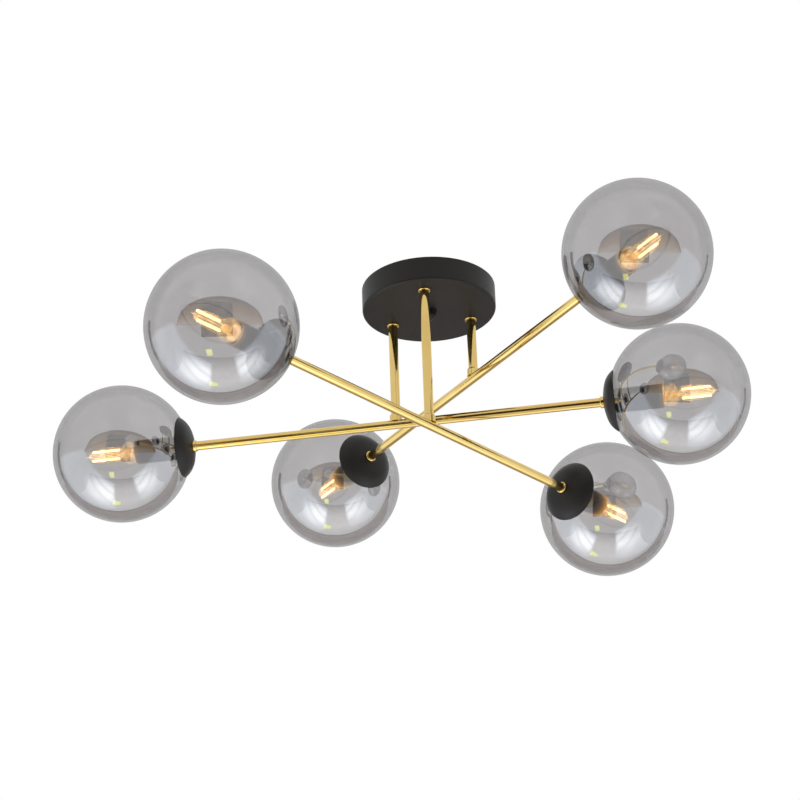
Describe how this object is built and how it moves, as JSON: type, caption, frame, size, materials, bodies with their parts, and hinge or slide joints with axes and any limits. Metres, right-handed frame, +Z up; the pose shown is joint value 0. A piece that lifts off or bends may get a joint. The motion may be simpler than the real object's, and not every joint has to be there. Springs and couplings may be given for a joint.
{
  "type": "multi-arm ceiling light",
  "caption": "Ceiling light with a round black canopy, brass stems of unequal length, straight brass arms crossing at different heights and a smoke-glass globe with candle bulb on each arm end.",
  "frame": {"origin": "centre of the face that meets the ceiling, on the top end of the centre stud", "axes": "+Z up into the ceiling, +X along the middle arm towards its right-hand lamp"},
  "size_m": [0.76, 0.7183, 0.263],
  "materials": {
    "black_metal": "satin black paint",
    "brass": "polished",
    "steel": "zinc plated",
    "block_plastic": "moulded",
    "holder_plastic": "smooth black sleeve",
    "contact_brass": "bare",
    "cap_metal": "plain",
    "filament": "lit warm white",
    "smoke_glass": "smoke tinted, half mirrored",
    "clear_glass": "clear"
  },
  "bodies": {
    "ceiling": {"mounting_bracket": "steel", "centre_stud": "steel", "stud_nut": "steel", "canopy": "black_metal", "canopy_cap_nut": "black_metal", "terminal_block": "block_plastic", "earth_screw": "steel", "block_screw": "steel", "terminal_screws": "steel", "stem_rings": "brass", "stem_nuts": "steel", "stem_low": "brass", "stem_mid": "brass", "stem_high": "brass"},
    "arm_low": {"collar_low": "brass", "arm_tube_low": "brass", "end_rings_low": "brass", "galleries_low": "steel", "lampholders_low": "holder_plastic", "screw_shells_low": "contact_brass", "centre_contacts_low": "contact_brass", "bulb_caps_low": "cap_metal", "filaments_low": "filament", "cup_low_left": "black_metal", "cup_low_right": "black_metal", "bulb_glass_low_left": "clear_glass", "bulb_glass_low_right": "clear_glass"},
    "globe_low_left": {"globe_low_left": "smoke_glass"},
    "globe_low_right": {"globe_low_right": "smoke_glass"},
    "arm_mid": {"collar_mid": "brass", "arm_tube_mid": "brass", "end_rings_mid": "brass", "galleries_mid": "steel", "lampholders_mid": "holder_plastic", "screw_shells_mid": "contact_brass", "centre_contacts_mid": "contact_brass", "bulb_caps_mid": "cap_metal", "filaments_mid": "filament", "cup_mid_left": "black_metal", "cup_mid_right": "black_metal", "bulb_glass_mid_left": "clear_glass", "bulb_glass_mid_right": "clear_glass"},
    "globe_mid_left": {"globe_mid_left": "smoke_glass"},
    "globe_mid_right": {"globe_mid_right": "smoke_glass"},
    "arm_high": {"collar_high": "brass", "arm_tube_high": "brass", "end_rings_high": "brass", "galleries_high": "steel", "lampholders_high": "holder_plastic", "screw_shells_high": "contact_brass", "centre_contacts_high": "contact_brass", "bulb_caps_high": "cap_metal", "filaments_high": "filament", "cup_high_left": "black_metal", "cup_high_right": "black_metal", "bulb_glass_high_left": "clear_glass", "bulb_glass_high_right": "clear_glass"},
    "globe_high_left": {"globe_high_left": "smoke_glass"},
    "globe_high_right": {"globe_high_right": "smoke_glass"}
  },
  "joints": [
    {"name": "arm_low_swivel", "type": "hinge", "parent": "ceiling", "child": "arm_low", "pos_m": [0.00302, -0.04941, -0.18], "axis": [0, 0, 1], "range_deg": [-4, 14]},
    {"name": "globe_low_left_turn", "type": "hinge", "parent": "arm_low", "child": "globe_low_left", "pos_m": [-0.15407, -0.31084, -0.188], "axis": [-0.515, -0.8572, 0], "range_deg": [0, 60]},
    {"name": "globe_low_right_turn", "type": "hinge", "parent": "arm_low", "child": "globe_low_right", "pos_m": [0.16011, 0.21203, -0.188], "axis": [0.515, 0.8572, 0], "range_deg": [0, 60]},
    {"name": "arm_mid_swivel", "type": "hinge", "parent": "ceiling", "child": "arm_mid", "pos_m": [-0.0443, 0.02209, -0.14], "axis": [0, 0, 1], "range_deg": [-6, 6]},
    {"name": "globe_mid_left_turn", "type": "hinge", "parent": "arm_mid", "child": "globe_mid_left", "pos_m": [-0.3493, 0.02209, -0.148], "axis": [-1, 0, 0], "range_deg": [0, 60]},
    {"name": "globe_mid_right_turn", "type": "hinge", "parent": "arm_mid", "child": "globe_mid_right", "pos_m": [0.2607, 0.02209, -0.148], "axis": [1, 0, 0], "range_deg": [0, 60]},
    {"name": "arm_high_swivel", "type": "hinge", "parent": "ceiling", "child": "arm_high", "pos_m": [0.04128, 0.02732, -0.092], "axis": [0, 0, 1], "range_deg": [-14, 4]},
    {"name": "globe_high_left_turn", "type": "hinge", "parent": "arm_high", "child": "globe_high_left", "pos_m": [-0.15882, 0.25751, -0.1], "axis": [-0.6561, 0.7547, 0], "range_deg": [0, 60]},
    {"name": "globe_high_right_turn", "type": "hinge", "parent": "arm_high", "child": "globe_high_right", "pos_m": [0.24138, -0.20287, -0.1], "axis": [0.6561, -0.7547, 0], "range_deg": [0, 60]}
  ]
}
